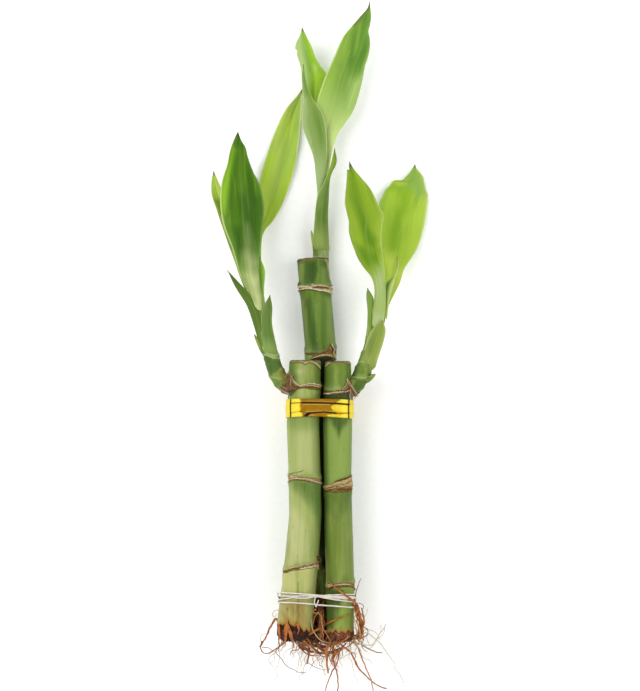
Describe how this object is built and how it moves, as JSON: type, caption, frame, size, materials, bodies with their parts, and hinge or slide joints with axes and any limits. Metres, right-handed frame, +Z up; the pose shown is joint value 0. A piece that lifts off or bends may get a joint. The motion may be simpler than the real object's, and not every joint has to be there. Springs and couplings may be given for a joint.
{
  "type": "lucky bamboo bundle",
  "caption": "Bundle of cut lucky bamboo canes with leafy shoots and roots, tied with gold tape and an elastic band, lying on a surface.",
  "frame": {"origin": "middle of the flat spot under the back cane that the bundle rests on", "axes": "+Z up from the surface, +Y along the canes from the roots to the leaf tips, +X to the right seen from above with the leaf tips away"},
  "size_m": [0.1179, 0.3769, 0.0362],
  "materials": {
    "pale_cane": "waxy pale green, fine lengthwise streaks and speckles",
    "green_cane": "waxy green, fine lengthwise streaks",
    "dark_cane": "waxy dark green, fine lengthwise streaks",
    "papery_collar": "dry brown papery sheath remains, matte",
    "green_stem": "smooth waxy green",
    "dark_leaf": "satin dark green with fine parallel veins, pale at the base",
    "mid_leaf": "satin green with fine parallel veins, pale at the base",
    "light_leaf": "satin yellow green with fine parallel veins",
    "gold_foil": "bright crinkled gold foil tape",
    "white_elastic": "matte white elastic",
    "root": "dry orange-brown fibrous roots, dark brown at the crowns"
  },
  "bodies": {
    "root": {"cane_left": "pale_cane", "cane_right": "green_cane", "cane_back": "dark_cane", "collar_left_1": "papery_collar", "collar_left_2": "papery_collar", "collar_left_3": "papery_collar", "collar_right_1": "papery_collar", "collar_right_2": "papery_collar", "collar_right_3": "papery_collar", "collar_back_1": "papery_collar", "collar_back_2": "papery_collar", "stem_left": "green_stem", "leaf_left_front": "dark_leaf", "leaf_left_side": "dark_leaf", "leaf_left_back": "dark_leaf", "leaf_left_inner": "dark_leaf", "leaf_left_low_side": "dark_leaf", "leaf_left_low_front": "dark_leaf", "stem_center": "green_stem", "leaf_center_tall": "mid_leaf", "leaf_center_back": "mid_leaf", "leaf_center_front": "mid_leaf", "leaf_center_low": "mid_leaf", "stem_right": "green_stem", "leaf_right_front": "light_leaf", "leaf_right_back": "light_leaf", "leaf_right_small": "light_leaf", "leaf_right_side": "light_leaf", "leaf_right_sheath": "light_leaf", "shoot_scar_left": "papery_collar", "shoot_scar_right": "papery_collar", "gold_tape": "gold_foil", "elastic_band": "white_elastic", "roots": "root"}
  },
  "joints": []
}
